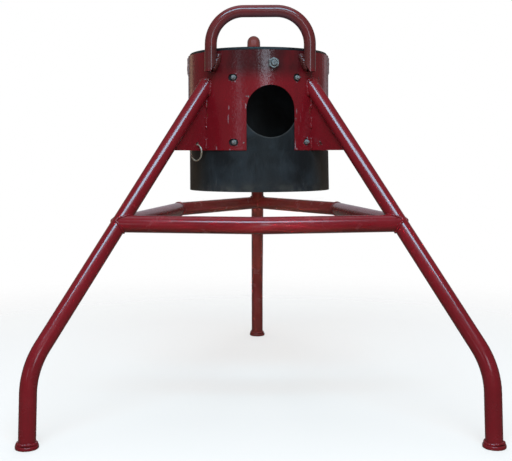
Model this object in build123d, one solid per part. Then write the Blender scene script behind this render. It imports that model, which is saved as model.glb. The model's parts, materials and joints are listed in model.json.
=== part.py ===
from build123d import *
import os
from math import sin, cos, tan, atan2, radians, degrees, pi, sqrt

os.makedirs("parts", exist_ok=True)

# ---------------------------------------------------------------- dimensions (mm)
# welded tripod: three bent tube legs on a rolled collar, a hood inside the collar
LEG_OD = 26.9            # 3/4 inch tube
LEG_WALL = 2.6
HANDLE_OD = 21.3         # 1/2 inch tube
HANDLE_WALL = 2.6
BRACE_FRONT_OD = 28.0    # front brace, slightly flattened by its centre bend
BRACE_WALL = 2.6

SLEEVE_R = 128.5         # hood, outer radius
SLEEVE_WALL = 4.0
SLEEVE_Z0 = 379.0        # open mouth
SLEEVE_Z1 = 632.0        # closed end
SLEEVE_EDGE = 3.5        # rounding of the closed end
# the hood has a small shoulder under the collar and widens below it, leaning to the right:
# (z, x of its centre, outer radius)
SLEEVE_FLARE = [(451.7, 1.2, 130.0), (379.0, 2.0, 130.6)]

COLLAR_RI = 128.8
COLLAR_RO = 131.3
COLLAR_Z0 = 452.0
COLLAR_Z1 = 626.5

WINDOW_AZ = 9.5          # azimuth from the front, towards +X
WINDOW_Z = 523.0
WINDOW_R = 48.25         # in the hood
SLOT_W = 85.5            # in the collar, open downwards

FRONT_AZ = 46.35         # front legs, either side of the front
REAR_AZ = 180.0          # rear leg
LEG_C0 = 583.0           # leg axis: radius = LEG_C0 - LEG_K * z above the knee
LEG_K = 0.7990
KNEE_Z = 120.8
KNEE_R = LEG_C0 - LEG_K * KNEE_Z
SHIN_K = 0.0335
KNEE_BEND = 115.0
FOOT_R = KNEE_R + SHIN_K * KNEE_Z
LEG_TOP = 578.0          # the legs are cut off level above their joint with the collar
FOOT_D = 36.0
FOOT_T = 6.0

GUSSET_T = 5.0
GUSSET_HOLE_R = 152.5    # radius of the hole from the hood axis
GUSSET_HOLE_Z = 463.5
GUSSET_HOLE_D = 6.0

BAND_T = 2.0             # band round the back of the collar
BAND_Z0, BAND_Z1 = 595.0, 625.5
BAND_AZ = 91.0           # its ends, from the front

HANDLE_AZ = 1.3
HANDLE_HALF = 86.9       # half the distance between the leg axes
HANDLE_BOTTOM = 590.0
HANDLE_TOP = 696.0       # axis, at the right-hand bend
HANDLE_LEAN = 1.3        # the bent bar leans to the right at the top
HANDLE_SAG = 1.3         # and its left-hand bend sits lower
HANDLE_BEND = 58.0
HANDLE_CUT_W, HANDLE_CUT_H = 10.0, 17.5   # slanted cut at the foot of each upright

REAR_HANDLE_X = -8.0
REAR_HANDLE_TOP = 677.0  # axis
REAR_HANDLE_BEND = 40.0
REAR_HANDLE_W = 80.0

BRACE_Z = 331.6          # front brace and its joints with the front legs
KINK_Z = 332.2           # kinks of the side braces
BRACE_REAR_Z = 336.0     # joint with the rear leg
BRACE_FRONT_MID = 260.0  # how far the bend of the front brace is in front of the hood axis
KINK_X, KINK_Y = 162.0, 147.0

SCREW_D = 5.0            # M5 screws through hood and collar holes, M10 clamp bolt
SCREWS = [(-19.6, 579.0, "oval", 17.2, 11.8, -20.4), (31.0, 579.2, "round", 14.6, 14.6, 30.7),
          (-19.3, 465.9, "oval", 17.6, 12.2, -19.8), (40.1, 466.9, "round", 12.4, 12.4, 40.0)]
CLAMP_AZ, CLAMP_Z = 10.9, 603.2

RING_R = 14.4            # centreline
RING_WIRE = 2.8

# the row's frame: centre of the footprint on the floor
AXIS_Y = -FOOT_R * (1 - cos(radians(FRONT_AZ))) / 2


# ---------------------------------------------------------------- helpers
def rad(az):
    """unit vector from the hood axis outwards; azimuth 0 is the front (-Y), + towards +X"""
    return Vector(sin(radians(az)), -cos(radians(az)), 0)


def at(az, r, z):
    v = rad(az) * r
    return Vector(v.X, v.Y, z)


def leg_r(z):
    return LEG_C0 - LEG_K * z


def sweep_round(points, bend, od, wall=None):
    """a round bar, or a tube when a wall is given, along a bent line"""
    if len(points) > 2:
        line = FilletPolyline(*points, radius=bend)
    else:
        line = Line(*points)
    p = Plane(origin=line @ 0, z_dir=line % 0)
    solid = sweep(p * Circle(od / 2), path=line)
    if wall:
        solid = solid - sweep(p * Circle(od / 2 - wall), path=line)
    return solid


def cut_half(solid, point, normal, size=70):
    """remove what lies on the side the normal points to, near the point"""
    p = Plane(origin=point, z_dir=normal)
    return solid - p * Box(size, size, size, align=(Align.CENTER, Align.CENTER, Align.MIN))


def drill(az, z, d, r0=100.0, r1=160.0):
    p = Plane(origin=at(az, r0, z), z_dir=rad(az))
    return p * Cylinder(d / 2, r1 - r0, align=(Align.CENTER, Align.CENTER, Align.MIN))


def one(shape):
    """the largest solid of a result"""
    s = shape.solids()
    return max(s, key=lambda q: q.volume) if len(s) > 1 else s[0]


made = {}


def node(name, shape, group=False):
    moved = Pos(0, AXIS_Y, 0) * shape
    made[name] = moved
    export_step(moved, f"parts/{name}.step")


# ---------------------------------------------------------------- hood and collar
def z_cyl(r, z0, z1):
    return Pos(0, 0, z0) * Cylinder(r, z1 - z0, align=(Align.CENTER, Align.CENTER, Align.MIN))


collar_solid = z_cyl(COLLAR_RO, 300, 700)



def flare(inset, drop=0.0):
    """the widened lower part of the hood as a solid, its sides moved in by inset"""
    out = None
    for (za, xa, ra), (zb, xb, rb) in zip(SLEEVE_FLARE[:-1], SLEEVE_FLARE[1:]):
        k = 1 + (drop / (za - zb) if zb == SLEEVE_Z0 else 0.0)
        xb, rb, zb = xa + (xb - xa) * k, ra + (rb - ra) * k, za + (zb - za) * k
        part = loft([Pos(xb, 0, zb) * Circle(rb - inset), Pos(xa, 0, za) * Circle(ra - inset)], ruled=True)
        out = part if out is None else out + part
    return out


sleeve = z_cyl(SLEEVE_R, SLEEVE_FLARE[0][0], SLEEVE_Z1)
sleeve = fillet(sleeve.edges().filter_by(GeomType.CIRCLE).sort_by(Axis.Z)[-1], SLEEVE_EDGE)
sleeve += flare(0.0)
sleeve -= z_cyl(SLEEVE_R - SLEEVE_WALL, SLEEVE_FLARE[0][0] - 0.01, SLEEVE_Z1 - SLEEVE_WALL) + flare(SLEEVE_WALL, 1.0)
sleeve -= drill(WINDOW_AZ, WINDOW_Z, 2 * WINDOW_R)
for az, z, *_ in SCREWS:
    sleeve -= drill(az, z, SCREW_D + 0.6)
sleeve -= drill(CLAMP_AZ, CLAMP_Z, 11.0)
node("guide_sleeve", one(sleeve))

collar = z_cyl(COLLAR_RO, COLLAR_Z0, COLLAR_Z1) - z_cyl(COLLAR_RI, COLLAR_Z0 - 1, COLLAR_Z1 + 1)


def wall_plane(az, z):
    """plane facing outwards in front of the wall: x along the wall, y up"""
    return Plane(origin=at(az, 100, z), x_dir=Vector(cos(radians(az)), sin(radians(az)), 0), z_dir=rad(az))


drop = WINDOW_Z - COLLAR_Z0 + 5
u_slot = Circle(SLOT_W / 2) + Pos(0, -drop / 2) * Rectangle(SLOT_W, drop)
collar -= extrude(wall_plane(WINDOW_AZ, WINDOW_Z) * u_slot, amount=60)
for az, z, kind, w, h, hole_az in SCREWS:
    if kind == "round":
        collar -= drill(hole_az, z, w)
    else:
        collar -= extrude(wall_plane(hole_az, z) * SlotOverall(w, h), amount=60)
collar -= drill(CLAMP_AZ, CLAMP_Z, 11.0)
node("collar_shell", one(collar))

band = z_cyl(COLLAR_RO + BAND_T, BAND_Z0, BAND_Z1) - collar_solid
band -= Pos(0, -150 - COLLAR_RO * sin(radians(BAND_AZ - 90)) * -1, 600) * Box(400, 300, 200)
node("collar_band", one(band))

# ---------------------------------------------------------------- legs, feet, gussets
LEGS = {"left": -FRONT_AZ, "right": FRONT_AZ, "rear": REAR_AZ}
leg_outer = {}
for side, az in LEGS.items():
    pts = [at(az, 100, (LEG_C0 - 100) / LEG_K), at(az, KNEE_R, KNEE_Z), at(az, FOOT_R - SHIN_K * FOOT_T, FOOT_T)]
    line = FilletPolyline(*pts, radius=KNEE_BEND)
    p = Plane(origin=line @ 0, z_dir=line % 0)
    outer = sweep(p * Circle(LEG_OD / 2), path=line)
    inner = sweep(p * Circle(LEG_OD / 2 - LEG_WALL), path=line)
    outer = outer - z_cyl(600, -50, FOOT_T)
    leg_outer[side] = outer
    leg = (outer - inner) - collar_solid - z_cyl(300, LEG_TOP, LEG_TOP + 80)
    node(f"leg_{side}", one(leg))
    f = Pos(*tuple(at(az, FOOT_R, 0))) * Cylinder(FOOT_D / 2, FOOT_T, align=(Align.CENTER, Align.CENTER, Align.MIN))
    f = fillet(f.edges().filter_by(GeomType.CIRCLE), 1.8)
    node(f"foot_{side}", one(f))
    # web plate under the leg
    prof = [(120, COLLAR_Z0), (leg_r(COLLAR_Z0), COLLAR_Z0), (120, (LEG_C0 - 120) / LEG_K)]
    gp = Plane(origin=(0, 0, 0), x_dir=rad(az), z_dir=rad(az).cross(Vector(0, 0, 1)))
    g = gp * make_face(Polyline(*prof, close=True))
    g = extrude(g, amount=GUSSET_T / 2, both=True) - outer - collar_solid
    hp = Plane(origin=at(az, GUSSET_HOLE_R, GUSSET_HOLE_Z), z_dir=rad(az).cross(Vector(0, 0, 1)))
    g -= hp * Cylinder(GUSSET_HOLE_D / 2, 40)
    node(f"gusset_{side}", one(g))

# ---------------------------------------------------------------- braces
PL = at(-FRONT_AZ, leg_r(BRACE_Z), BRACE_Z)
PR = at(FRONT_AZ, leg_r(BRACE_Z), BRACE_Z)
PB = at(REAR_AZ, leg_r(BRACE_REAR_Z), BRACE_REAR_Z)
MID = Vector(0, -BRACE_FRONT_MID, BRACE_Z)
KL = Vector(-KINK_X, KINK_Y, KINK_Z)
KR = Vector(KINK_X, KINK_Y, KINK_Z)


def unit(v):
    return v * (1 / v.length)


def extend(a, b, e):
    """a point past b on the line from a"""
    return b + unit(b - a) * e


def bisect_normal(p, a, b):
    """normal of the plane between the directions p->a and p->b, pointing to b"""
    return unit(unit(b - p) - unit(a - p))


bf = sweep_round([PL, MID, PR], 90, BRACE_FRONT_OD, BRACE_WALL)
bf = bf - leg_outer["left"] - leg_outer["right"]
bf = cut_half(bf, PL, bisect_normal(PL, MID, KL))
bf = cut_half(bf, PR, bisect_normal(PR, MID, KR))
node("brace_front", one(bf))

for side, P, K in (("left", PL, KL), ("right", PR, KR)):
    a = sweep_round([P, extend(P, K, 30)], None, LEG_OD, BRACE_WALL)
    a = a - leg_outer[side]
    a = cut_half(a, P, bisect_normal(P, K, MID))
    a = cut_half(a, K, bisect_normal(K, P, PB))
    node(f"brace_{side}_front", one(a))
    b = sweep_round([extend(PB, K, 30), PB], None, LEG_OD, BRACE_WALL)
    b = b - leg_outer["rear"]
    b = cut_half(b, K, bisect_normal(K, PB, P))
    other = KR if side == "left" else KL
    b = cut_half(b, PB, bisect_normal(PB, K, other))
    node(f"brace_{side}_rear", one(b))

# ---------------------------------------------------------------- handles
hy = -sqrt((COLLAR_RO + HANDLE_OD / 2) ** 2 - HANDLE_HALF ** 2)
pts = [Vector(-HANDLE_HALF, hy, HANDLE_BOTTOM), Vector(-HANDLE_HALF + HANDLE_LEAN, hy, HANDLE_TOP - HANDLE_SAG),
       Vector(HANDLE_HALF + HANDLE_LEAN * 0.5, hy, HANDLE_TOP), Vector(HANDLE_HALF, hy, HANDLE_BOTTOM)]
h = sweep_round(pts, HANDLE_BEND, HANDLE_OD, HANDLE_WALL)
h = Rot(0, 0, HANDLE_AZ) * h
h = h - z_cyl(COLLAR_RO, 300, COLLAR_Z1)
for s in (-1, 1):
    # the inner corner of each upright's foot is cut off on a slant
    q = Rot(0, 0, HANDLE_AZ) * Pos(s * (HANDLE_HALF - HANDLE_OD / 2), hy, HANDLE_BOTTOM + HANDLE_CUT_H)
    h = cut_half(h, q.position, Vector(-s * HANDLE_CUT_H, 0, -HANDLE_CUT_W), 50)
node("front_handle", one(h))

ri = COLLAR_RO + BAND_T + LEG_OD / 2
x = REAR_HANDLE_X
pts = [Vector(x, ri, BAND_Z0 - 6), Vector(x, ri, REAR_HANDLE_TOP),
       Vector(x, ri + REAR_HANDLE_W, REAR_HANDLE_TOP), Vector(x, ri + REAR_HANDLE_W, (LEG_C0 - ri - REAR_HANDLE_W) / LEG_K + 7)]
rh = sweep_round(pts, REAR_HANDLE_BEND - 0.1, LEG_OD, LEG_WALL)
rh = rh - leg_outer["rear"] - z_cyl(COLLAR_RO + BAND_T, 300, BAND_Z1)
node("rear_handle", one(rh))

# ---------------------------------------------------------------- fasteners
def hexagon(across, length, bore=None):
    """hexagon with its outer face chamfered, and a bore for a nut"""
    r = across / sqrt(3)
    s = extrude(RegularPolygon(r, 6), amount=length)
    dome = Pos(0, 0, length - across * 0.09) * Cone(r * 1.02, across / 2 * 0.93, across * 0.09,
                                                    align=(Align.CENTER, Align.CENTER, Align.MIN))
    body = s & (Cylinder(r * 1.02, length - across * 0.09, align=(Align.CENTER, Align.CENTER, Align.MIN)) + dome)
    if bore:
        body = body - Pos(0, 0, -1) * Cylinder(bore / 2, length + 2, align=(Align.CENTER, Align.CENTER, Align.MIN))
    return body


def screw(d, across, head_h, length, tip):
    """head below the origin, shank upwards"""
    head = Rot(180, 0, 0) * hexagon(across, head_h)
    shank = Cylinder(d / 2, length, align=(Align.CENTER, Align.CENTER, Align.MIN))
    shank = chamfer(shank.edges().filter_by(GeomType.CIRCLE).sort_by(Axis.Z)[-1], tip)
    return one(head + shank)


def washer(d, bore, t):
    return Cylinder(d / 2, t, align=(Align.CENTER, Align.CENTER, Align.MIN)) - Cylinder(bore / 2, 3 * t)


def on_wall(az, z, r, shape, turn=0.0):
    p = Plane(origin=at(az, r, z), x_dir=Vector(cos(radians(az)), sin(radians(az)), 0), z_dir=rad(az))
    return p * (Rot(0, 0, turn) * shape)


RI = SLEEVE_R - SLEEVE_WALL
m5_seat = sqrt(RI ** 2 - 5.0 ** 2) - 0.02
nuts, bolts, washers = [], [], []
TURN = [12, 40, 25, 8]
for (az, z, *_), t in zip(SCREWS, TURN):
    nuts.append(one(on_wall(az, z, SLEEVE_R, hexagon(8.0, 4.4, SCREW_D + 0.1), t)))
    washers.append(one(on_wall(az, z, m5_seat - 1.0, washer(10.0, SCREW_D + 0.3, 1.0))))
    bolts.append(one(on_wall(az, z, m5_seat - 1.0, screw(SCREW_D, 8.0, 3.5, 137.0 - (m5_seat - 1.0), 0.7), t)))
node("sleeve_nuts", Compound(children=nuts))
node("sleeve_washers", Compound(children=washers))
node("sleeve_screws", Compound(children=bolts))

m10_seat = sqrt(RI ** 2 - 10.0 ** 2) - 0.02
node("clamp_nut", one(on_wall(CLAMP_AZ, CLAMP_Z, COLLAR_RO, hexagon(17.0, 8.0, 10.1), 30)))
node("clamp_washer", one(on_wall(CLAMP_AZ, CLAMP_Z, m10_seat - 2.0, washer(20.0, 10.5, 2.0))))
node("clamp_bolt", one(on_wall(CLAMP_AZ, CLAMP_Z, m10_seat - 2.0,
                               screw(10.0, 17.0, 6.4, 142.5 - (m10_seat - 2.0), 1.2), 10)))

# ---------------------------------------------------------------- ring in the left gusset
RING_DROP = 0.9
c = at(-FRONT_AZ, GUSSET_HOLE_R, GUSSET_HOLE_Z - RING_DROP - RING_R)
rp = Plane(origin=c, x_dir=rad(-FRONT_AZ).cross(Vector(0, 0, 1)), z_dir=rad(-FRONT_AZ))
ring = rp * Torus(RING_R, RING_WIRE / 2)
node("wire_ring", one(ring))

if __name__ == "__main__":
    every = Compound(children=[s for v in made.values() for s in v.solids()])
    b = every.bounding_box()
    print("box", b.min, b.max, "axis y", AXIS_Y, "foot r", FOOT_R)
    for k, v in made.items():
        s = v.solids()
        print(k, len(s), round(sum(q.volume for q in s), 1))
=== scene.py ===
import bpy
import bmesh
import json
import math
import random
from mathutils import Vector, Matrix, noise


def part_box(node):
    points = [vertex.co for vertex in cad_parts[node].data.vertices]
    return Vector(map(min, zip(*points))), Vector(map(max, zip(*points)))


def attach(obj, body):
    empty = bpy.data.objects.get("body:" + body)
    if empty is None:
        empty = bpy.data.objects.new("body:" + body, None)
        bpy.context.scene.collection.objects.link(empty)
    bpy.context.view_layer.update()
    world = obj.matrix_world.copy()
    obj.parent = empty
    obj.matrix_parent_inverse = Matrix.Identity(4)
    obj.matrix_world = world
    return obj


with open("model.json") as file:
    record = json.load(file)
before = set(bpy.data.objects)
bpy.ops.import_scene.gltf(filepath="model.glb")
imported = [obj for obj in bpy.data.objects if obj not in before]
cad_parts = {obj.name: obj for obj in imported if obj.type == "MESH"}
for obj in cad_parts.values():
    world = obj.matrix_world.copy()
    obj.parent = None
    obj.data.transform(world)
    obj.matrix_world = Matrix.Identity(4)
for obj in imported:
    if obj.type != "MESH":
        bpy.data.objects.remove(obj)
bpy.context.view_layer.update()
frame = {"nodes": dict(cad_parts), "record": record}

NODES = frame["nodes"]

# ------------------------------------------------------------------ numbers shared with the CAD (mm)
LEG_R = 13.45
HANDLE_R = 10.65
BRACE_FRONT_R = 14.0
COLLAR_RO = 131.3
COLLAR_Z0, COLLAR_Z1 = 452.0, 626.5
SLEEVE_R = 128.5
BAND_T = 2.0
FRONT_AZ, REAR_AZ = 46.35, 180.0
LEG_C0, LEG_K = 583.0, 0.7990
BRACE_Z, KINK_Z, BRACE_REAR_Z = 331.6, 332.2, 336.0
LEG_TOP = 578.0
BRACE_MID = 260.0
KINK_X, KINK_Y = 162.0, 147.0
HANDLE_AZ, HANDLE_HALF = 1.3, 86.9
REAR_X, REAR_W = -8.0, 80.0
GUSSET_T = 5.0


def centre(name):
    lo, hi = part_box(name)
    return (Vector(lo) + Vector(hi)) / 2


AXIS_Y = centre("collar_shell").y * 1000.0


def W(v):
    """hood-axis millimetres to the row frame in metres"""
    return Vector((v[0] / 1000.0, (v[1] + AXIS_Y) / 1000.0, v[2] / 1000.0))


def radial(az):
    a = math.radians(az)
    return Vector((math.sin(a), -math.cos(a), 0.0))


def at(az, r, z):
    v = radial(az) * r
    return Vector((v.x, v.y, z))


def leg_r(z):
    return LEG_C0 - LEG_K * z


def leg_dir(az):
    return (radial(az) * LEG_K + Vector((0, 0, -1))).normalized()


# ------------------------------------------------------------------ node material helper
class Mat:
    def __init__(self, name):
        self.m = bpy.data.materials.new(name)
        self.m.use_nodes = True
        self.t = self.m.node_tree
        self.t.nodes.clear()
        self.out = self.t.nodes.new("ShaderNodeOutputMaterial")
        self.bsdf = self.t.nodes.new("ShaderNodeBsdfPrincipled")
        self.t.links.new(self.bsdf.outputs[0], self.out.inputs[0])
        self.coord = self.t.nodes.new("ShaderNodeTexCoord").outputs["Object"]
        self.geo = self.t.nodes.new("ShaderNodeNewGeometry")

    def link(self, a, b):
        self.t.links.new(a, b)

    def put(self, sock, v):
        if hasattr(v, "is_output") or isinstance(v, bpy.types.NodeSocket):
            self.link(v, sock)
        else:
            sock.default_value = v

    def scaled(self, sx, sy, sz, offset=(0, 0, 0)):
        n = self.t.nodes.new("ShaderNodeMapping")
        n.inputs["Scale"].default_value = (sx, sy, sz)
        n.inputs["Location"].default_value = offset
        self.link(self.coord, n.inputs["Vector"])
        return n.outputs[0]

    def noise(self, scale, detail=4.0, rough=0.55, vec=None, distortion=0.0, colour=False):
        n = self.t.nodes.new("ShaderNodeTexNoise")
        n.inputs["Scale"].default_value = scale
        n.inputs["Detail"].default_value = detail
        n.inputs["Roughness"].default_value = rough
        n.inputs["Distortion"].default_value = distortion
        self.link(vec if vec is not None else self.coord, n.inputs["Vector"])
        return n.outputs["Color" if colour else "Fac"]

    def voronoi(self, scale, feature="F1", vec=None):
        n = self.t.nodes.new("ShaderNodeTexVoronoi")
        n.feature = feature
        n.inputs["Scale"].default_value = scale
        self.link(vec if vec is not None else self.coord, n.inputs["Vector"])
        return n.outputs["Distance"]

    def range(self, v, a, b, c=0.0, d=1.0, smooth=True):
        n = self.t.nodes.new("ShaderNodeMapRange")
        n.interpolation_type = "SMOOTHSTEP" if smooth else "LINEAR"
        n.clamp = True
        self.put(n.inputs["Value"], v)
        n.inputs["From Min"].default_value = a
        n.inputs["From Max"].default_value = b
        n.inputs["To Min"].default_value = c
        n.inputs["To Max"].default_value = d
        return n.outputs["Result"]

    def math(self, op, a, b=0.0, clamp=False):
        n = self.t.nodes.new("ShaderNodeMath")
        n.operation = op
        n.use_clamp = clamp
        self.put(n.inputs[0], a)
        self.put(n.inputs[1], b)
        return n.outputs[0]

    def mix(self, fac, a, b, mode="MIX"):
        n = self.t.nodes.new("ShaderNodeMix")
        n.data_type = "RGBA"
        n.blend_type = mode
        self.put(n.inputs[0], fac)
        for sock, v in ((n.inputs[6], a), (n.inputs[7], b)):
            if isinstance(v, tuple):
                sock.default_value = (*v[:3], 1.0)
            else:
                self.link(v, sock)
        return n.outputs[2]

    def normal_z(self):
        n = self.t.nodes.new("ShaderNodeSeparateXYZ")
        self.link(self.geo.outputs["Normal"], n.inputs[0])
        return n.outputs[2]

    def xyz(self):
        n = self.t.nodes.new("ShaderNodeSeparateXYZ")
        self.link(self.coord, n.inputs[0])
        return n.outputs

    def near(self, points, inner=0.0):
        """1 near any of the points [(position in m, radius in m)], falling to 0 at the radius"""
        total = None
        for p, r in points:
            n = self.t.nodes.new("ShaderNodeVectorMath")
            n.operation = "DISTANCE"
            self.link(self.coord, n.inputs[0])
            n.inputs[1].default_value = tuple(p)
            v = self.range(n.outputs["Value"], r * inner, r, 1.0, 0.0)
            total = v if total is None else self.math("MAXIMUM", total, v)
        return total

    def bump(self, height, strength, distance, normal=None):
        n = self.t.nodes.new("ShaderNodeBump")
        n.inputs["Strength"].default_value = strength
        n.inputs["Distance"].default_value = distance
        self.link(height, n.inputs["Height"])
        if normal is not None:
            self.link(normal, n.inputs["Normal"])
        return n.outputs[0]


# ------------------------------------------------------------------ materials
def wear_points():
    """places where the enamel has been knocked: around the holes, slot edges, joints, handle and feet"""
    pts = []
    for az, z in ((-20.2, 579.4), (31.3, 579.4), (-20.0, 465.6), (39.9, 466.3), (11.7, 603.7)):
        pts.append((W(at(az, 131.3, z)), 0.017))
    pts += [(W(at(-9.6, 131.3, z)), 0.016) for z in (548, 520, 470)]
    pts += [(W(at(28.9, 131.3, z)), 0.016) for z in (505, 458)]
    pts += [(W(at(-22.5, 131.3, 507)), 0.014), (W(at(-21.5, 131.3, 453)), 0.018)]
    pts += [(W(at(-88, 131.3, 600)), 0.03), (W(at(90, 131.3, 600)), 0.03)]
    for az in (-FRONT_AZ, FRONT_AZ, REAR_AZ):
        pts.append((W(at(az, 489.5, 4)), 0.030))
        pts.append((W(at(az, 136.0, 572)), 0.034))
        pts.append((W(at(az, 152.5, 463.5)), 0.010))
        pts.append((W(at(az, leg_r(BRACE_Z), BRACE_Z)), 0.022))
    pts += [(W((-70, -112, 690)), 0.026), (W((74, -112, 690)), 0.026), (W((10, -112, 697)), 0.02)]
    return pts


def mark(az, z, half_t, half_z):
    """a mark on the collar wall: its middle and half sizes, mm"""
    v = radial(az)
    hx = max(abs(v.y) * half_t, 1.6) / 1000
    hy = max(abs(v.x) * half_t, 1.6) / 1000
    return (W(at(az, 131.4, z)), (hx, hy, half_z / 1000))


PAINT_MARKS = [
    # pale rubs: below the two left holes, the slot's edges, the collar's lower edge, the band's ends
    ([mark(-23.6, 527, 1.0, 5), mark(-24.0, 507, 0.7, 10), mark(-10.0, 529, 0.9, 6), mark(30.3, 520, 1.1, 6), mark(29.2, 462, 0.7, 13),
      mark(-18.3, 571.6, 4.0, 1.8), mark(-17.8, 585.6, 2.2, 1.4), mark(-22.5, 453.4, 4.5, 1.5), mark(30.5, 454.5, 3.0, 2.4),
      mark(30.5, 572.0, 3.6, 1.6), mark(8.6, 598, 2.0, 2.6), mark(-88.5, 607, 5.0, 8), mark(-88.5, 592, 3.0, 3), mark(-34.6, 456, 0.8, 4)],
     (0.34, 0.28, 0.32), 0.62),
    # painted highlight: the broad pale pink upright mark by the window's left edge stands in for a lamp's reflection;
    # the three thin marks by its right edge are a scratch
    ([mark(-13.9, 533, 2.2, 18), mark(36.0, 527, 0.5, 9), mark(34.0, 509, 0.5, 11), mark(32.4, 488, 0.5, 12)], (0.24, 0.070, 0.085), 0.50),
    # brown spots on the upright seams and at the side
    ([mark(-44.0, 533, 2.4, 5), mark(-44.0, 515, 2.2, 4), mark(43.6, 522, 2.2, 9), mark(-67, 600, 3.0, 26)], (0.105, 0.046, 0.018), 0.70),
]


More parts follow.
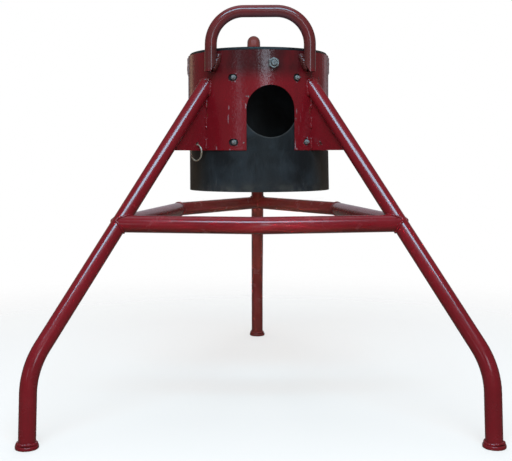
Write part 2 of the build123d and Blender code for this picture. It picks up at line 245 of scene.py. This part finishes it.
def red_enamel(name, weld=False, plate=False):
    k = Mat(name)
    p = k.xyz()
    nz = k.normal_z()
    deep = k.mix(k.range(k.noise(9.0, 3.0, 0.5), 0.35, 0.68), (0.172, 0.0060, 0.0118), (0.205, 0.0082, 0.0150))
    # faded, chalky patches and fine mottling
    chalk = k.range(k.noise(34.0, 6.0, 0.62), 0.58, 0.80, 0.0, 0.20)
    col = k.mix(chalk, deep, (0.235, 0.024, 0.030))
    col = k.mix(k.range(k.noise(150.0, 5.0, 0.6), 0.42, 0.75, 0.0, 0.25), col, (0.120, 0.0060, 0.0090))
    # long drips and wipe marks
    streak = k.noise(1.0, 5.0, 0.6, k.scaled(95.0, 95.0, 7.0))
    col = k.mix(k.range(streak, 0.52, 0.72, 0.0, 0.20), col, (0.120, 0.0090, 0.0105))
    # painted shade: a dark band under the rim, between the handle's feet, darkening the front of the collar towards the
    # top
    rim_painted_shade = k.math("MULTIPLY", k.range(p[2], 0.566, 0.600, 0.0, 0.95), k.range(p[1], 0.02, -0.06))
    rim_painted_shade = k.math("MULTIPLY", rim_painted_shade, k.range(k.noise(1.0, 5.0, 0.6, k.scaled(30.0, 30.0, 9.0, (0.3, 0.0, 0.6))), 0.22, 0.62, 0.45, 1.0))
    rim_painted_shade = k.math("MULTIPLY", rim_painted_shade, k.range(k.math("ABSOLUTE", p[0]), 0.104, 0.070))
    rim_painted_shade = k.math("MULTIPLY", rim_painted_shade, k.range(p[2], 0.640, 0.630))
    col = k.mix(rim_painted_shade, col, (0.042, 0.0075, 0.0095))
    # brown film on the uprights of the handle; on everything at the back a lighter brown, partly a brown film and
    # partly painted light that brightens the parts lying in the hood's shadow
    cloudy = k.range(k.noise(24.0, 4.0, 0.6), 0.25, 0.65, 0.6, 1.0)
    high = k.range(p[2], 0.585, 0.600, 0.0, 0.0 if plate else 0.65)
    col = k.mix(k.math("MULTIPLY", high, cloudy), col, (0.085, 0.0280, 0.0250))
    # painted light: the back's colour is lighter than the red, lifting the rear parts that the hood shades
    back = k.range(p[1], -0.04, 0.12, 0.0, 0.45 if plate else 0.70)
    col = k.mix(k.math("MULTIPLY", back, cloudy), col, (0.200, 0.0450, 0.0370))
    # painted reflection of a warm brown floor on what faces down, lighter and pinker on the undersides above 0.63 m
    under = k.math("MULTIPLY", k.range(nz, -0.10, -0.85, 0.0, 0.75), k.range(k.noise(20.0, 4.0, 0.6), 0.25, 0.6, 0.55, 1.0))
    col = k.mix(under, col, k.mix(k.range(p[2], 0.63, 0.66), (0.088, 0.0180, 0.0125), (0.170, 0.080, 0.100)))
    # a little dust on what faces up
    up = k.math("MULTIPLY", k.range(nz, 0.62, 1.0, 0.0, 0.16), k.range(k.noise(60.0, 5.0, 0.65), 0.42, 0.70))
    col = k.mix(up, col, (0.22, 0.130, 0.130))
    # chips: bare grey steel with a dark rim
    near = k.near(wear_points(), 0.25)
    fine = k.noise(210.0, 7.0, 0.66)
    broad = k.range(k.noise(7.0, 3.0, 0.5), 0.50, 0.70, 0.0, 0.045)
    lift = k.math("ADD", k.math("MULTIPLY", near, 0.125 if not weld else 0.140), broad)
    level = k.math("ADD", fine, lift)
    chip = k.range(level, 0.740 if not weld else 0.730, 0.765 if not weld else 0.757)
    rim = k.range(level, 0.705 if not weld else 0.695, 0.745)
    col = k.mix(k.math("MULTIPLY", rim, 0.65), col, (0.048, 0.0085, 0.0095))
    steel = k.mix(k.range(k.noise(480.0, 4.0, 0.6), 0.35, 0.65), (0.200, 0.190, 0.190), (0.38, 0.37, 0.40))
    col = k.mix(chip, col, steel)
    # placed marks: pale rubs, brown spots, a scratch and one painted highlight streak
    for pts, tone, amount in PAINT_MARKS:
        m = None
        for c, half in pts:
            q = k.t.nodes.new("ShaderNodeVectorMath")
            q.operation = "SUBTRACT"
            k.link(k.coord, q.inputs[0])
            q.inputs[1].default_value = tuple(c)
            d = k.t.nodes.new("ShaderNodeVectorMath")
            d.operation = "MULTIPLY"
            k.link(q.outputs[0], d.inputs[0])
            d.inputs[1].default_value = tuple(1.0 / h for h in half)
            e = k.t.nodes.new("ShaderNodeVectorMath")
            e.operation = "LENGTH"
            k.link(d.outputs[0], e.inputs[0])
            v = k.range(e.outputs["Value"], 1.0, 0.45)
            m = v if m is None else k.math("MAXIMUM", m, v)
        m = k.math("MULTIPLY", m, k.range(k.noise(260.0, 5.0, 0.65), 0.40, 0.56, 0.15, amount))
        col = k.mix(m, col, tone)
    # hairline scratches
    sc = k.voronoi(1.0, "DISTANCE_TO_EDGE", k.scaled(26.0, 26.0, 5.0, (1.7, 0.3, 2.0)))
    sm = k.math("MULTIPLY", k.range(sc, 0.0030, 0.0, 0.0, 1.0), k.range(k.noise(13.0, 3.0, 0.5), 0.56, 0.70))
    col = k.mix(k.math("MULTIPLY", sm, 0.40), col, (0.28, 0.13, 0.15))
    k.link(col, k.bsdf.inputs["Base Color"])
    rough = k.range(k.noise(40.0, 5.0, 0.6), 0.3, 0.75, 0.19, 0.30)
    rough = k.math("ADD", rough, k.math("MULTIPLY", chip, 0.25), True)
    k.link(rough, k.bsdf.inputs["Roughness"])
    k.bsdf.inputs["Specular IOR Level"].default_value = 0.36
    k.bsdf.inputs["IOR"].default_value = 1.5
    k.bsdf.inputs["Coat Weight"].default_value = 0.85
    k.bsdf.inputs["Coat Roughness"].default_value = 0.14
    peel = k.noise(330.0 if weld or not plate else 190.0, 3.0, 0.6)
    run = k.noise(1.0, 3.0, 0.5, k.scaled(120.0, 120.0, 18.0, (0.4, 0.2, 0.9)))
    b = k.bump(peel, 0.30 if weld else (0.60 if plate else 0.010), 0.0007)
    b = k.bump(run, 0.07 if plate else 0.008, 0.0008, b)
    b = k.bump(k.math("SUBTRACT", 1.0, chip), 0.4, 0.0003, b)
    if weld:
        b = k.bump(k.noise(820.0, 5.0, 0.7), 0.45, 0.0006, b)
    k.link(b, k.bsdf.inputs["Normal"])
    k.link(b, k.bsdf.inputs["Coat Normal"])
    return k.m


def hood_plastic():
    k = Mat("hood_plastic")
    cloud = k.range(k.noise(16.0, 6.0, 0.62, None, 0.6), 0.38, 0.72)
    col = k.mix(cloud, (0.0085, 0.0105, 0.0125), (0.0215, 0.0280, 0.0345))
    wipe = k.noise(1.0, 6.0, 0.65, k.scaled(42.0, 42.0, 11.0, (3.0, 1.0, 0.0)), 0.8)
    col = k.mix(k.range(wipe, 0.54, 0.76, 0.0, 0.42), col, (0.034, 0.042, 0.050))
    speck = k.range(k.noise(420.0, 4.0, 0.7), 0.66, 0.78, 0.0, 0.5)
    col = k.mix(speck, col, (0.060, 0.062, 0.064))
    p = k.xyz()
    low = k.math("MULTIPLY", k.range(p[2], 0.402, 0.379, 0.0, 0.6), k.range(k.noise(55.0, 6.0, 0.7), 0.40, 0.66))
    col = k.mix(low, col, (0.060, 0.058, 0.054))
    # painted reflection: browner flanks standing in for warm side walls mirrored in the hood's sides
    flank_reflection = k.math("MULTIPLY", k.range(k.math("ABSOLUTE", p[0]), 0.088, 0.126, 0.0, 0.70), k.range(p[1], 0.03, -0.04))
    flank_reflection = k.math("MULTIPLY", flank_reflection, k.range(k.noise(26.0, 5.0, 0.6), 0.25, 0.65, 0.55, 1.0))
    col = k.mix(flank_reflection, col, (0.052, 0.043, 0.031))
    edge = k.near([(W(at(9.5, 128.0, 523)), 0.0515)], 0.925)
    ring = k.math("MULTIPLY", edge, k.range(k.noise(130.0, 4.0, 0.6), 0.30, 0.60, 0.35, 1.0))
    col = k.mix(k.math("MULTIPLY", ring, 0.55), col, (0.085, 0.090, 0.090))
    sc = k.voronoi(1.0, "DISTANCE_TO_EDGE", k.scaled(30.0, 30.0, 8.0, (0.2, 0.9, 0.4)))
    sm = k.math("MULTIPLY", k.range(sc, 0.0030, 0.0), k.range(k.noise(19.0, 3.0, 0.5), 0.53, 0.66))
    col = k.mix(k.math("MULTIPLY", sm, 0.5), col, (0.085, 0.090, 0.094))
    k.link(col, k.bsdf.inputs["Base Color"])
    r = k.math("ADD", k.range(cloud, 0.0, 1.0, 0.46, 0.62), k.math("MULTIPLY", speck, 0.1))
    k.link(r, k.bsdf.inputs["Roughness"])
    k.bsdf.inputs["Specular IOR Level"].default_value = 0.42
    b = k.bump(k.noise(260.0, 5.0, 0.6), 0.16, 0.0005)
    b = k.bump(wipe, 0.10, 0.0009, b)
    b = k.bump(k.math("SUBTRACT", 1.0, sm), 0.25, 0.0003, b)
    k.link(b, k.bsdf.inputs["Normal"])
    return k.m


def zinc(name, base=(0.38, 0.42, 0.45), warm=(0.25, 0.25, 0.24), rough=(0.22, 0.42), metal=0.5, about=None):
    """about = (azimuth, height, scale): a dark ring in the crease round a bolt there and a darker bolt end"""
    k = Mat(name)
    n = k.noise(190.0, 6.0, 0.65)
    col = k.mix(k.range(n, 0.35, 0.68), base, warm)
    if about:
        q = k.t.nodes.new("ShaderNodeVectorMath")
        q.operation = "SUBTRACT"
        k.link(k.coord, q.inputs[0])
        q.inputs[1].default_value = tuple(W(at(about[0], 131.0, about[1])))
        d = k.t.nodes.new("ShaderNodeVectorMath")
        d.operation = "CROSS_PRODUCT"
        k.link(q.outputs[0], d.inputs[0])
        d.inputs[1].default_value = tuple(radial(about[0]))
        e = k.t.nodes.new("ShaderNodeVectorMath")
        e.operation = "LENGTH"
        k.link(d.outputs[0], e.inputs[0])
        r = e.outputs["Value"]
        f = about[2] / 1000
        # a dark ring in the crease round the bolt end, and a darker bolt end
        groove = k.math("MULTIPLY", k.range(r, 4.6 * f, 5.2 * f), k.range(r, 6.8 * f, 6.0 * f))
        col = k.mix(k.math("MULTIPLY", groove, 0.85), col, (0.035, 0.038, 0.040))
        col = k.mix(k.range(r, 2.6 * f, 1.4 * f, 0.0, 0.6), col, (0.10, 0.11, 0.12))
    col = k.mix(k.range(k.noise(700.0, 4.0, 0.7), 0.60, 0.78, 0.0, 0.7), col, (0.10, 0.085, 0.070))
    k.link(col, k.bsdf.inputs["Base Color"])
    k.bsdf.inputs["Metallic"].default_value = metal
    k.link(k.range(k.noise(300.0, 5.0, 0.6), 0.3, 0.7, rough[0], rough[1]), k.bsdf.inputs["Roughness"])
    k.link(k.bump(k.noise(900.0, 4.0, 0.6), 0.25, 0.0003), k.bsdf.inputs["Normal"])
    return k.m


M_RED = red_enamel("red_enamel")
M_PLATE = red_enamel("red_enamel_plate", False, True)
M_WELD = red_enamel("red_enamel_weld", True)
M_HOOD = hood_plastic()
M_ZINC = zinc("zinc_plate")
M_CLAMP = zinc("zinc_plate_clamp", (0.34, 0.40, 0.43), (0.16, 0.17, 0.17), (0.22, 0.42), 0.5, (10.9, 603.2, 1.0))
M_WIRE = zinc("ring_wire", (0.55, 0.54, 0.49), (0.38, 0.29, 0.18), (0.22, 0.38), 0.6)

SLOT_MAT = {"red_enamel": M_RED, "hood_black": M_HOOD, "zinc": M_ZINC, "ring_wire": M_WIRE}
NODE_SLOT = {s["node"]: s["material_slot"] for s in frame["record"]["subparts"]}
for name, o in NODES.items():
    mat = SLOT_MAT[NODE_SLOT[name]]
    if name.startswith(("collar", "gusset")):
        mat = M_PLATE
    if name.startswith("clamp"):
        mat = M_CLAMP
    if len(o.material_slots) == 0:
        o.data.materials.append(mat)
    for s in o.material_slots:
        s.material = mat

# softened edges on the plates: collar shell, band and gussets
for name, width in (("collar_shell", 0.0005), ("collar_band", 0.0005), ("gusset_left", 0.0006), ("gusset_right", 0.0006),
                    ("gusset_rear", 0.0006)):
    mod = NODES[name].modifiers.new("edge", "BEVEL")
    mod.width = width
    mod.segments = 2
    mod.limit_method = "ANGLE"
    mod.angle_limit = math.radians(50)
    mod.harden_normals = False


# ------------------------------------------------------------------ weld beads
RND = random.Random(7)


def resample(points, step, closed):
    pts = list(points) + ([points[0]] if closed else [])
    out, carry = [pts[0].copy()], 0.0
    for a, b in zip(pts[:-1], pts[1:]):
        d = (b - a).length
        if d < 1e-9:
            continue
        t = step - carry
        while t <= d:
            out.append(a.lerp(b, t / d))
            t += step
        carry = (carry + d) % step
    if closed and (out[-1] - out[0]).length < step * 0.6:
        out.pop()
    return out


def bead(name, points, r, closed=False, seed=0, pitch=2.3, wobble=0.35, body="stand", lumpy=0.20, sides=12, taper=None):
    """a laid weld bead: points in hood-axis mm, r in mm. The ripple is a row of overlapping scales."""
    step = 0.55
    pts = resample([Vector(p) for p in points], step, closed)
    n = len(pts)
    if n < 4:
        return None
    off = Vector((seed * 13.7 + 3.1, seed * 7.3, seed * 3.9))
    verts, faces = [], []
    up = Vector((0.31, 0.22, 0.92))
    for i, p in enumerate(pts):
        a = pts[(i - 1) % n] if closed or i > 0 else p
        b = pts[(i + 1) % n] if closed or i < n - 1 else p
        t = (b - a).normalized()
        x = (up - t * up.dot(t))
        if x.length < 1e-3:
            x = Vector((1, 0, 0)) - t * t.x
        x.normalize()
        y = t.cross(x)
        up = x
        s = i * step
        ph = (s + 0.35 * noise.noise(p * 0.21 + off)) / pitch
        saw = ph - math.floor(ph)
        scale = 1.0 + 0.13 * (math.sin(math.pi * saw) - 0.5) - 0.05 * saw
        scale *= 1.0 + lumpy * noise.noise(p * 0.11 + off) + 0.5 * lumpy * noise.noise(p * 0.43 + off)
        if not closed:
            e = min(i, n - 1 - i) * step
            scale *= min(1.0, 0.25 + 0.75 * math.sqrt(max(0.0, min(1.0, e / (r * 0.9)))))
        if taper:
            scale *= taper[0] + (taper[1] - taper[0]) * i / (n - 1)
        c = p + (x * noise.noise(p * 0.17 + off * 2) + y * noise.noise(p * 0.17 - off)) * wobble
        for j in range(sides):
            q = 2 * math.pi * j / sides
            rr = r * scale * (1.0 + 0.05 * noise.noise(Vector((q, s * 0.5, seed))))
            verts.append(W(c + (x * math.cos(q) + y * math.sin(q)) * rr))
    rings = n if closed else n - 1
    for i in range(rings):
        k = (i + 1) % n
        for j in range(sides):
            l = (j + 1) % sides
            faces.append((i * sides + j, i * sides + l, k * sides + l, k * sides + j))
    if not closed:
        faces.append(tuple(reversed(range(sides))))
        faces.append(tuple((n - 1) * sides + j for j in range(sides)))
    me = bpy.data.meshes.new(name)
    me.from_pydata(verts, [], faces)
    bm = bmesh.new()
    bm.from_mesh(me)
    bmesh.ops.recalc_face_normals(bm, faces=bm.faces)
    bm.to_mesh(me)
    bm.free()
    me.polygons.foreach_set("use_smooth", [True] * len(me.polygons))
    o = bpy.data.objects.new(name, me)
    bpy.context.scene.collection.objects.link(o)
    me.materials.append(M_WELD)
    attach(o, body)
    return o


def basis(d):
    d = d.normalized()
    e1 = d.orthogonal().normalized()
    return e1, d.cross(e1)


def saddle(origin, d, rb, axis_point, axis_dir, ra, count=72, out=0.0):
    """where a tube (origin, direction d, radius rb) leaves the round surface (axis_point, axis_dir, ra): a closed list"""
    e1, e2 = basis(d)
    a = axis_dir.normalized()
    d = d.normalized()
    pts = []
    for i in range(count):
        t = 2 * math.pi * i / count
        o = origin + (e1 * math.cos(t) + e2 * math.sin(t)) * (rb + out)
        m = o - axis_point
        dp, mp = d - a * d.dot(a), m - a * m.dot(a)
        A, B, C = dp.dot(dp), 2 * dp.dot(mp), mp.dot(mp) - (ra + out) ** 2
        disc = max(0.0, B * B - 4 * A * C)
        pts.append(o + d * ((-B + math.sqrt(disc)) / (2 * A)))
    return pts


def plane_ring(origin, d, rb, p, n, count=72, out=0.0):
    """where a tube meets a mitre plane"""
    e1, e2 = basis(d)
    pts = []
    for i in range(count):
        t = 2 * math.pi * i / count
        o = origin + (e1 * math.cos(t) + e2 * math.sin(t)) * (rb + out)
        pts.append(o + d * ((p - o).dot(n) / d.dot(n)))
    return pts


def runs(points, keep):
    """the stretches of a closed list for which keep(point) holds"""
    n = len(points)
    flags = [keep(p) for p in points]
    if all(flags):
        return [points]
    start = next(i for i in range(n) if not flags[i])
    out, cur = [], []
    for k in range(1, n + 1):
        i = (start + k) % n
        if flags[i]:
            cur.append(points[i])
        elif cur:
            out.append(cur)
            cur = []
    if cur:
        out.append(cur)
    return out


def axis_dist(p, q, d):
    m = p - q
    d = d.normalized()
    return (m - d * m.dot(d)).length


SIDES = {"left": -FRONT_AZ, "right": FRONT_AZ, "rear": REAR_AZ}
PL, PR, PB = (at(SIDES[s], leg_r(z), z) for s, z in (("left", BRACE_Z), ("right", BRACE_Z), ("rear", BRACE_REAR_Z)))
MID = Vector((0, -BRACE_MID, BRACE_Z))
KL, KR = Vector((-KINK_X, KINK_Y, KINK_Z)), Vector((KINK_X, KINK_Y, KINK_Z))
seed = 1
for side, az in SIDES.items():
    d = leg_dir(az)
    top = at(az, 100.0, (LEG_C0 - 100.0) / LEG_K)
    ring = saddle(top, d, LEG_R, Vector((0, 0, 0)), Vector((0, 0, 1)), COLLAR_RO, out=0.8)
    for i, part in enumerate(runs(ring, lambda p: 547.0 < p.z < LEG_TOP - 1.0)):
        bead(f"weld_leg_{side}_{i}", part, 2.7, False, seed, 2.6)
        seed += 1
    bead(f"weld_cap_{side}", [at(az + t, 133.2, LEG_TOP - 0.3 - 0.10 * t * t) for t in (-5.6, -4.2, -2.8, -1.4, 0, 1.4, 2.8, 4.2, 5.6)], 3.1,
         False, seed, 2.8, 0.5, lumpy=0.35)
    seed += 1
    # foot
    f = at(az, 490.3, 0)
    foot = [f + Vector((math.cos(t) * 14.1, math.sin(t) * 14.1, 7.9 + 0.8 * math.sin(2 * t + seed))) for t in
            [2 * math.pi * i / 60 for i in range(60)]]
    bead(f"weld_foot_{side}", foot, 2.7, True, seed, 3.4, 0.5, lumpy=0.34)
    seed += 1
    # web plate to collar and to leg, both faces
    tang = radial(az).cross(Vector((0, 0, 1)))
    for s in (-1, 1):
        base = at(az, COLLAR_RO + 0.6, 0) + tang * s * (GUSSET_T / 2 + 0.8)
        for i, (a, b) in enumerate(((454, 476), (490, 512), (526, 549))):
            bead(f"weld_web_{side}_{s + 1}_{i}", [base + Vector((0, 0, a)), base + Vector((0, 0, (a + b) / 2)), base + Vector((0, 0, b))],
                 2.5, False, seed, 2.6, 0.5, lumpy=0.3)
            seed += 1
        lo = at(az, leg_r(452) - 0.799 * 21.5 + 2, 454) + tang * s * (GUSSET_T / 2 + 0.7)
        hi = at(az, 135.0, (LEG_C0 - 135.0) / LEG_K - 20.9) + tang * s * (GUSSET_T / 2 + 0.7)
        bead(f"weld_webleg_{side}_{s + 1}", [lo, lo.lerp(hi, 0.5), hi], 2.2, False, seed, 2.5, 0.4, lumpy=0.26)
        seed += 1

# braces on the legs
legs = {"left": (PL, leg_dir(-FRONT_AZ)), "right": (PR, leg_dir(FRONT_AZ)), "rear": (PB, leg_dir(REAR_AZ))}
for name, P, K, rb, leg, cut in (("front_l", PL, MID, BRACE_FRONT_R, "left", KL), ("front_r", PR, MID, BRACE_FRONT_R, "right", KR),
                                 ("left_f", PL, KL, LEG_R, "left", MID), ("right_f", PR, KR, LEG_R, "right", MID),
                                 ("left_b", PB, KL, LEG_R, "rear", KR), ("right_b", PB, KR, LEG_R, "rear", KL)):
    d = (K - P).normalized()
    q, a = legs[leg]
    ring = saddle(P, d, rb, q, a, LEG_R, out=0.5)
    other = (cut - P).normalized()
    n = (d - other).normalized()
    for i, part in enumerate(runs(ring, lambda p: (p - P).dot(n) > 0.4)):
        bead(f"weld_brace_{name}_{i}", part, 1.9, False, seed, 2.5, 0.35, lumpy=0.26)
        seed += 1
for name, P, A, B, rb, leg in (("l", PL, MID, KL, LEG_R, "left"), ("r", PR, MID, KR, LEG_R, "right"), ("b", PB, KL, KR, LEG_R, "rear")):
    d, other = (A - P).normalized(), (B - P).normalized()
    ring = plane_ring(P, d, rb, P, (d - other).normalized(), out=0.4)
    q, a = legs[leg]
    for i, part in enumerate(runs(ring, lambda p: axis_dist(p, q, a) > LEG_R + 0.6 and (p - P).dot(d) > 0)):
        bead(f"weld_seam_{name}_{i}", part, 1.6, False, seed, 2.5, 0.3, lumpy=0.26)
        seed += 1
for name, P, K, Q in (("l", PL, KL, PB), ("r", PR, KR, PB)):
    d = (K - P).normalized()
    n = ((Q - K).normalized() - (P - K).normalized()).normalized()
    ring = plane_ring(P, d, LEG_R, K, n, out=0.35)
    bead(f"weld_kink_{name}", ring, 1.3, True, seed, 2.4, 0.25, lumpy=0.24)
    seed += 1

# front handle on the collar: a fillet each side of each upright and round its foot
rot = Matrix.Rotation(math.radians(HANDLE_AZ), 3, "Z")
phi = math.degrees(math.asin(HANDLE_HALF / (COLLAR_RO + HANDLE_R)))
for s, tag in ((-1, "l"), (1, "r")):
    for inner in (True, False):
        if inner:
            # down beside the upright, then along the slanted cut of its foot
            way = ((4.9, 133.2, 622.0), (4.7, 133.2, 615.0), (4.0, 133.2, 607.5), (2.6, 133.4, 601.5), (1.3, 133.4, 596.0), (0.1, 133.4, 591.5))
        else:
            way = ((-3.1, 132.8, 618.0), (-2.9, 132.8, 604.0), (-2.6, 132.8, 590.8))
        pts = [at(HANDLE_AZ + s * (phi - da), rr, z) for da, rr, z in way]
        bead(f"weld_handle_{tag}_{'in' if inner else 'out'}", pts, 5.2 if inner else 2.4, False, seed, 3.0, 0.3, lumpy=0.14, sides=20,
             taper=(1.0, 0.72) if inner else None)
        seed += 1
    pts = [at(HANDLE_AZ + s * (phi - da), rr, z) for da, rr, z in ((4.5, 137.2, 613.0), (3.5, 137.4, 604.0), (2.3, 137.4, 598.0), (1.1, 137.4, 593.0))]
    bead(f"weld_handle_{tag}_fill", pts, 4.4, False, seed, 3.2, 0.3, lumpy=0.16, sides=16, taper=(0.8, 1.0))
    seed += 1
    pts = []
    for i in range(9):
        az = HANDLE_AZ + s * (phi + (-0.6 + 3.6 * i / 8))
        pts.append(at(az, 132.4, 590.2 - 1.0 * math.sin(math.pi * i / 8)))
    bead(f"weld_handle_{tag}_foot", pts, 2.2, False, seed, 2.8, 0.3, lumpy=0.22)
    seed += 1

# rear handle: on the band, and on the rear leg
ri = COLLAR_RO + BAND_T + LEG_R
for s in (-1, 1):
    pts = [Vector((REAR_X + s * 8.6, math.sqrt(135.4 ** 2 - (REAR_X + s * 8.6) ** 2), z)) for z in range(592, 625, 4)]
    bead(f"weld_rear_handle_{s + 1}", pts, 3.0, False, seed, 2.8, 0.5, lumpy=0.3)
    seed += 1
up_at = Vector((REAR_X, ri + REAR_W, (LEG_C0 - ri - REAR_W) / LEG_K))
ring = saddle(up_at, Vector((0, 0, 1)), LEG_R, PB, leg_dir(REAR_AZ), LEG_R, out=0.6)
ring = [p for p in ring if p.z > up_at.z + 7.5]
for i, part in enumerate(runs(saddle(up_at, Vector((0, 0, 1)), LEG_R, PB, leg_dir(REAR_AZ), LEG_R, out=0.6), lambda p: p.z > up_at.z + 7.2)):
    bead(f"weld_rear_saddle_{i}", part, 2.6, False, seed, 2.6, 0.4, lumpy=0.3)
    seed += 1

# band ends and stitches, and the collar's rolled seam at the back
for az in (-91.0, 91.0):
    bead(f"weld_band_end_{'l' if az < 0 else 'r'}", [at(az - math.copysign(0.5, az), 132.0, z) for z in range(597, 625, 3)], 1.3, False, seed, 2.6, 0.5, lumpy=0.35)
    seed += 1
for az in (112, 140, 206, 232, 258):
    bead(f"weld_band_{az}", [at(az + t * 1.2, 132.6, 594.4) for t in range(-5, 6)], 2.0, False, seed, 2.6, 0.4, lumpy=0.3)
    seed += 1
bead("weld_collar_seam", [at(158, 131.2, z) for z in range(453, 594, 5)], 1.5, False, seed, 2.4, 0.3, lumpy=0.25)

# ------------------------------------------------------------------ floor
me = bpy.data.meshes.new("floor")
R, N = 3.4, 96
vs = [(0, 0, 0)] + [(R * math.cos(2 * math.pi * i / N), R * math.sin(2 * math.pi * i / N), 0) for i in range(N)]
me.from_pydata(vs, [], [(0, 1 + i, 1 + (i + 1) % N) for i in range(N)])
floor = bpy.data.objects.new("floor", me)
bpy.context.scene.collection.objects.link(floor)
fm = bpy.data.materials.new("floor_pale")
fm.use_nodes = True
nt = fm.node_tree
nt.nodes.clear()
out = nt.nodes.new("ShaderNodeOutputMaterial")
diff = nt.nodes.new("ShaderNodeBsdfDiffuse")
diff.inputs["Color"].default_value = (0.90, 0.895, 0.89, 1)
clear = nt.nodes.new("ShaderNodeBsdfTransparent")
mixs = nt.nodes.new("ShaderNodeMixShader")
tc = nt.nodes.new("ShaderNodeTexCoord")
ln = nt.nodes.new("ShaderNodeVectorMath")
ln.operation = "LENGTH"
mr = nt.nodes.new("ShaderNodeMapRange")
mr.interpolation_type = "SMOOTHSTEP"
mr.inputs["From Min"].default_value = 0.55
mr.inputs["From Max"].default_value = 1.55
mr.inputs["To Min"].default_value = 0.55
nt.links.new(tc.outputs["Object"], ln.inputs[0])
nt.links.new(ln.outputs["Value"], mr.inputs["Value"])
nt.links.new(mr.outputs["Result"], mixs.inputs[0])
dull = nt.nodes.new("ShaderNodeBsdfDiffuse")
dull.inputs["Color"].default_value = (0.115, 0.080, 0.060, 1)
path = nt.nodes.new("ShaderNodeLightPath")
kind = nt.nodes.new("ShaderNodeMixShader")
nt.links.new(path.outputs["Is Glossy Ray"], kind.inputs[0])
nt.links.new(diff.outputs[0], kind.inputs[1])
nt.links.new(dull.outputs[0], kind.inputs[2])
nt.links.new(kind.outputs[0], mixs.inputs[1])
nt.links.new(clear.outputs[0], mixs.inputs[2])
nt.links.new(mixs.outputs[0], out.inputs[0])
me.materials.append(fm)

# ------------------------------------------------------------------ world and lights
scene = bpy.context.scene
world = bpy.data.worlds.new("studio")
scene.world = world
world.use_nodes = True
wt = world.node_tree
wt.nodes.clear()
wo = wt.nodes.new("ShaderNodeOutputWorld")
seen = wt.nodes.new("ShaderNodeBackground")
seen.inputs["Color"].default_value = (1.0, 1.0, 1.0, 1)
seen.inputs["Strength"].default_value = 1.0
lit = wt.nodes.new("ShaderNodeBackground")
lit.inputs["Color"].default_value = (1.0, 0.86, 0.78, 1)
lit.inputs["Strength"].default_value = 0.10
wm = wt.nodes.new("ShaderNodeMixShader")
lp = wt.nodes.new("ShaderNodeLightPath")
wt.links.new(lp.outputs["Is Camera Ray"], wm.inputs[0])
wt.links.new(lit.outputs[0], wm.inputs[1])
wt.links.new(seen.outputs[0], wm.inputs[2])
wt.links.new(wm.outputs[0], wo.inputs[0])


def area(name, pos, target, w, h, power, colour, mirrored=True):
    l = bpy.data.lights.new(name, "AREA")
    l.shape = "RECTANGLE"
    l.size, l.size_y = w, h
    l.energy = power
    l.color = colour
    o = bpy.data.objects.new(name, l)
    scene.collection.objects.link(o)
    o.visible_glossy = mirrored
    o.location = pos
    o.rotation_euler = (Vector(target) - Vector(pos)).to_track_quat("-Z", "Y").to_euler()
    return o


aim = (0, -0.05, 0.45)
area("fill_front", (-0.1, -2.5, 2.0), aim, 2.0, 1.4, 40.0, (1.0, 0.87, 0.79), False)
area("fill_low", (0.0, -3.0, 0.42), (0, 0.1, 0.30), 2.4, 0.5, 9.0, (1.0, 0.88, 0.82), False)
area("fill_under", (0.0, -2.6, 0.14), (0, 0.40, 0.24), 0.3, 0.1, 0.24, (1.0, 0.84, 0.76), False).data.spread = math.radians(10)
area("fill_top", (0.0, 0.2, 3.0), aim, 3.0, 2.4, 44.0, (1.0, 0.97, 0.95), False)
area("fill_back", (0.2, 2.7, 1.6), aim, 2.2, 1.2, 14.0, (1.0, 0.95, 0.90), False)
area("key", (0.0, -1.95, 2.42), aim, 2.2, 0.54, 46.0, (0.37, 0.77, 1.0))
area("ceiling", (0.0, 0.3, 3.2), aim, 2.6, 1.6, 6.0, (0.62, 0.80, 1.0))
area("lamp_left", (-1.85, 2.1, 0.95), aim, 0.7, 0.9, 0.85, (1.0, 0.70, 0.46))
area("lamp_right", (1.85, 2.1, 0.95), aim, 0.7, 0.9, 0.75, (0.86, 0.76, 0.86))
area("glow_back", (0.0, 2.9, 0.9), aim, 2.2, 1.2, 2.8, (0.80, 0.84, 1.0))
# two bright doorways, mirrored as upright streaks in the collar
area("door_right", (0.58, -3.1, 1.03), (0, -0.2, 0.58), 0.66, 0.66, 4.8, (0.70, 0.87, 1.0))
area("door_left", (-1.75, -3.0, 0.70), (0, -0.2, 0.53), 0.40, 0.46, 0.85, (0.80, 0.86, 1.0))

# ------------------------------------------------------------------ camera
F_PX, CX, CY = 886.1, 251.77, 180.0
PITCH, ROLL = 0.0317, -0.00207
cam_data = bpy.data.cameras.new("camera")
cam = bpy.data.objects.new("camera", cam_data)
scene.collection.objects.link(cam)
cam_data.sensor_fit = "HORIZONTAL"
cam_data.sensor_width = 36.0
cam_data.lens = F_PX * 36.0 / 512.0
cam_data.shift_x = (256.0 - CX) / 512.0
cam_data.shift_y = (CY - 230.5) / 512.0
cam_data.clip_start, cam_data.clip_end = 0.02, 60.0
cam.location = (-0.0126, (AXIS_Y - 1670.6) / 1000.0, 0.4492)
cam.rotation_mode = "QUATERNION"
cam.rotation_quaternion = (Matrix.Rotation(math.pi / 2 - PITCH, 3, "X") @ Matrix.Rotation(ROLL, 3, "Z")).to_quaternion()
scene.camera = cam
scene.view_settings.view_transform = "Standard"
scene.view_settings.look = "None"
scene.view_settings.exposure = 0.0
